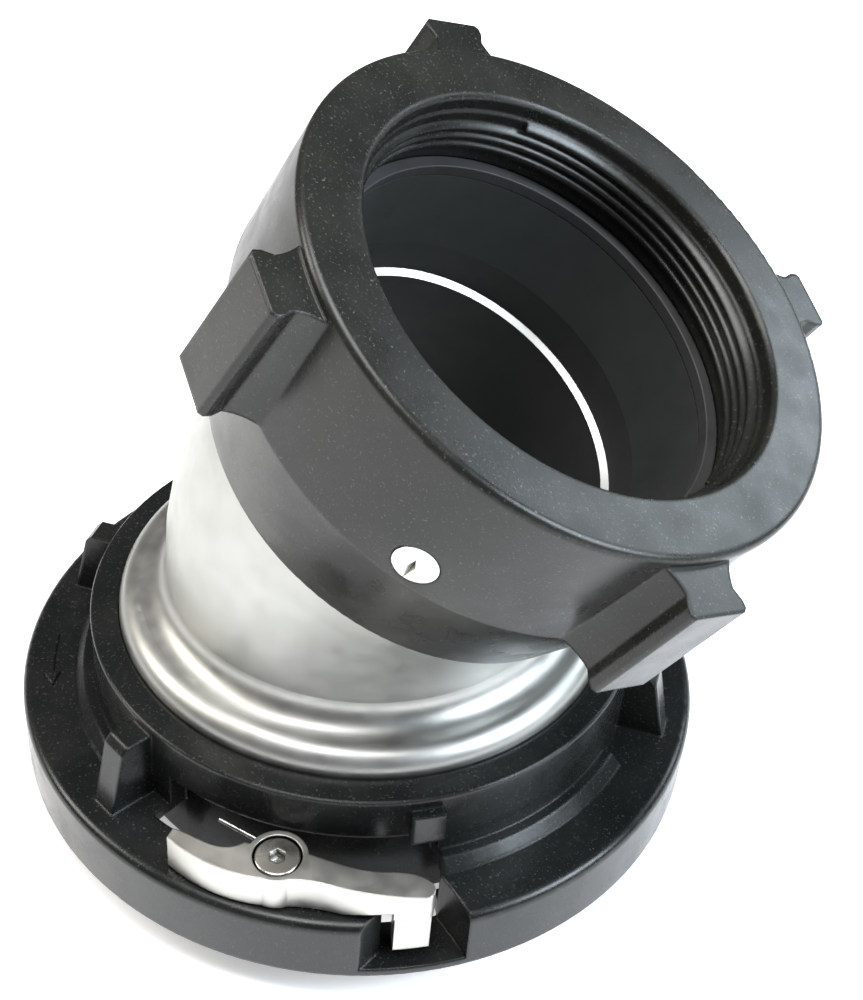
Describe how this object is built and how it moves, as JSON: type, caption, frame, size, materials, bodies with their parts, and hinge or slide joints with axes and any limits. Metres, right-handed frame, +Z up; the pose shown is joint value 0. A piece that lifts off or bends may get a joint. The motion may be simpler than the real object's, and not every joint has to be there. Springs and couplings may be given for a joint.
{
  "type": "elbow hose coupling adapter",
  "caption": "Bent aluminium hose adapter with a female threaded rocker-lug swivel and a quarter-turn hook coupling head with sprung lock levers.",
  "frame": {"origin": "centre of the coupling head's mating face", "axes": "+Z up along the head's axis, away from the mating coupling; +X towards the side that the elbow bends to; the threaded mouth faces up and towards +X"},
  "size_m": [0.2189, 0.2018, 0.2185],
  "materials": {
    "black_anodised": "semi-gloss black hard anodising",
    "grey_hardcoat": "satin dark grey hard anodising",
    "satin_alloy": "satin turned and tumbled",
    "polished_lever": "satin cast with polished faces",
    "plated_screw": "bright plated",
    "spring_steel": "bright wire",
    "bushing_brass": "turned",
    "acetal": "white acetal",
    "ball_steel": "polished balls",
    "seal_rubber": "black moulded"
  },
  "bodies": {
    "head": {"coupling_head": "black_anodised", "front_lever_screw": "plated_screw", "front_lever_bushing": "bushing_brass", "front_lever_washer": "spring_steel", "front_lever_spring": "spring_steel", "rear_lever_screw": "plated_screw", "rear_lever_bushing": "bushing_brass", "rear_lever_washer": "spring_steel", "rear_lever_spring": "spring_steel"},
    "elbow": {"elbow_body": "satin_alloy", "head_snap_ring": "spring_steel", "head_thrust_washer": "acetal", "head_wear_ring": "acetal", "head_o_ring": "seal_rubber", "face_seal": "seal_rubber", "swivel_balls": "ball_steel", "swivel_o_ring": "seal_rubber", "swivel_gasket": "seal_rubber"},
    "swivel": {"swivel_ring": "grey_hardcoat", "ball_plug_screw": "plated_screw"},
    "front_lever": {"front_lock_lever": "polished_lever"},
    "rear_lever": {"rear_lock_lever": "polished_lever"}
  },
  "joints": [
    {"name": "head_turn", "type": "hinge", "parent": "head", "child": "elbow", "pos_m": [0, 0, 0.022], "axis": [0, 0, 1], "continuous": true},
    {"name": "swivel_turn", "type": "hinge", "parent": "elbow", "child": "swivel", "pos_m": [0.03675, 0, 0.14095], "axis": [0.5, 0, 0.866], "continuous": true},
    {"name": "front_lever_swing", "type": "hinge", "parent": "head", "child": "front_lever", "pos_m": [0.02566, -0.08606, 0.0265], "axis": [0, 0, -1], "range_deg": [0, 9], "stiffness_Nm_per_rad": 0.6, "springref_deg": -17.19},
    {"name": "rear_lever_swing", "type": "hinge", "parent": "head", "child": "rear_lever", "pos_m": [-0.02566, 0.08606, 0.0265], "axis": [0, 0, -1], "range_deg": [0, 9], "stiffness_Nm_per_rad": 0.6, "springref_deg": -17.19}
  ]
}
